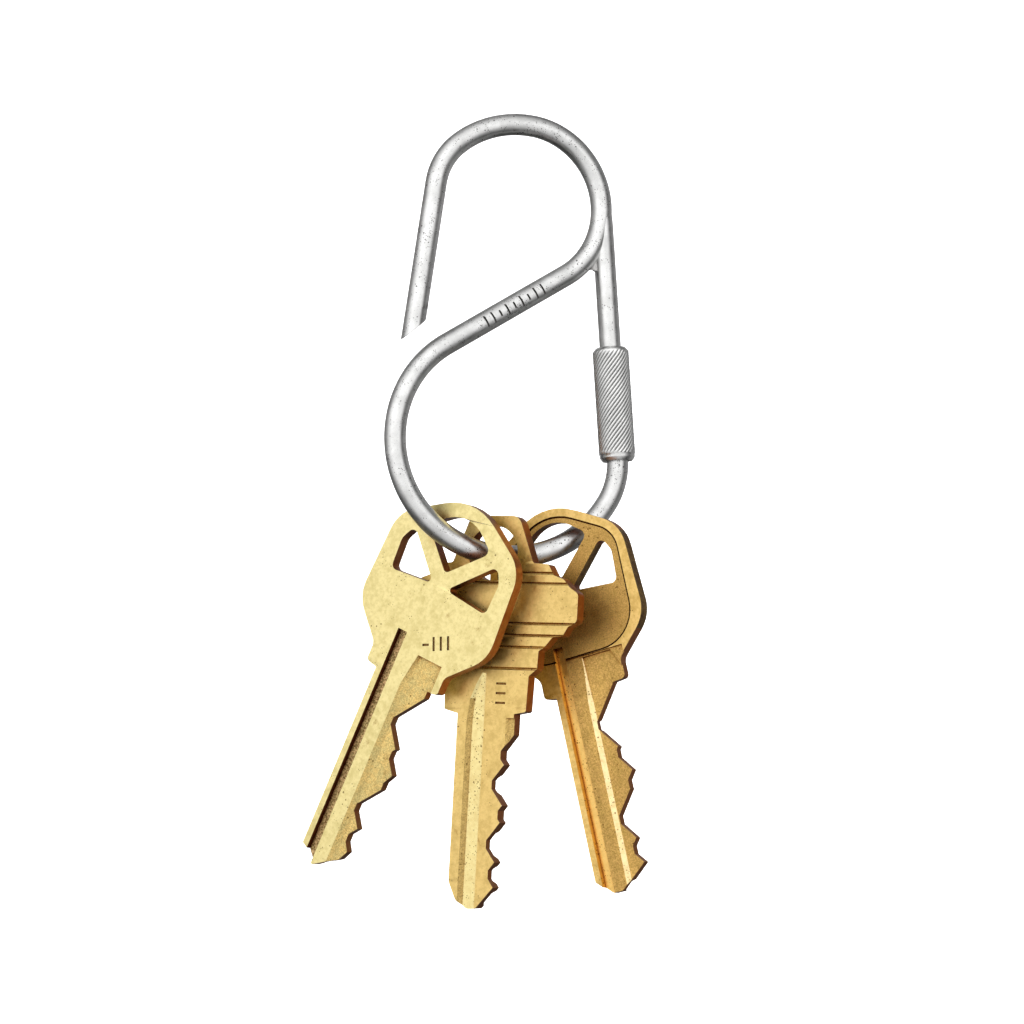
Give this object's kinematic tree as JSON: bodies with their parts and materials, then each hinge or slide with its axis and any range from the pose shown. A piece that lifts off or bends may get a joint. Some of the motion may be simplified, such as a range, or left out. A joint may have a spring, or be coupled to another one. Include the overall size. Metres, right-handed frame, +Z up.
{
  "type": "carabiner keyring",
  "caption": "Bent-wire carabiner keyring: open hook above, closed loop below with a knurled screw sleeve gate, holding brass door keys.",
  "frame": {"origin": "inside of the hook's crown, at the middle of the wire's depth, where a belt loop or hook carries the ring", "axes": "+Z up, towards what the ring hangs from; +X across the wire's plane, towards the screw sleeve; -Y the front"},
  "size_m": [0.0422, 0.029, 0.1091],
  "materials": {
    "wire_steel": "tumbled satin stainless wire with fine pits",
    "post_steel": "tumbled satin stainless rod with fine pits",
    "weld_steel": "dressed weld, tumbled satin",
    "core_steel": "cut thread, bright",
    "sleeve_steel": "diagonal fine knurl, satin ends",
    "front_key_brass": "pale worn brass with olive tarnish",
    "middle_key_brass": "golden worn brass with brown grime",
    "rear_key_brass": "golden worn brass with brown grime and an orange patina"
  },
  "bodies": {
    "ring": {"bent_wire": "wire_steel", "gate_post": "post_steel", "weld_fillet": "weld_steel"},
    "sleeve_travel_body": {"sleeve_threaded_core": "core_steel"},
    "sleeve_turn_body": {"knurled_sleeve": "sleeve_steel"},
    "front_key_body": {"front_key": "front_key_brass"},
    "middle_key_body": {"middle_key": "middle_key_brass"},
    "rear_key_body": {"rear_key": "rear_key_brass"}
  },
  "joints": [
    {"name": "sleeve_travel", "type": "slide", "parent": "ring", "child": "sleeve_travel_body", "axis": [-0.0645, 0, 0.9979], "range_m": [0, 0.006]},
    {"name": "sleeve_turn", "type": "hinge", "parent": "sleeve_travel_body", "child": "sleeve_turn_body", "pos_m": [0.01384, 0, -0.04482], "axis": [-0.0645, 0, 0.9979], "range_deg": [0, 4320]},
    {"name": "front_key_swing", "type": "hinge", "parent": "ring", "child": "front_key_body", "pos_m": [-0.00898, 0, -0.05724], "axis": [0.7431, 0.6691, 0], "range_deg": [-45, 28]},
    {"name": "middle_key_swing", "type": "hinge", "parent": "ring", "child": "middle_key_body", "pos_m": [-0.00377, 0, -0.05857], "axis": [0.7431, 0.6691, 0], "range_deg": [-60, 60]},
    {"name": "rear_key_swing", "type": "hinge", "parent": "ring", "child": "rear_key_body", "pos_m": [0.00466, 0, -0.0572], "axis": [0.7431, 0.6691, 0], "range_deg": [-55, 22]}
  ],
  "couplings": [
    {"joint": "sleeve_turn", "follows": "sleeve_travel", "rad_per_m": 12566}
  ]
}
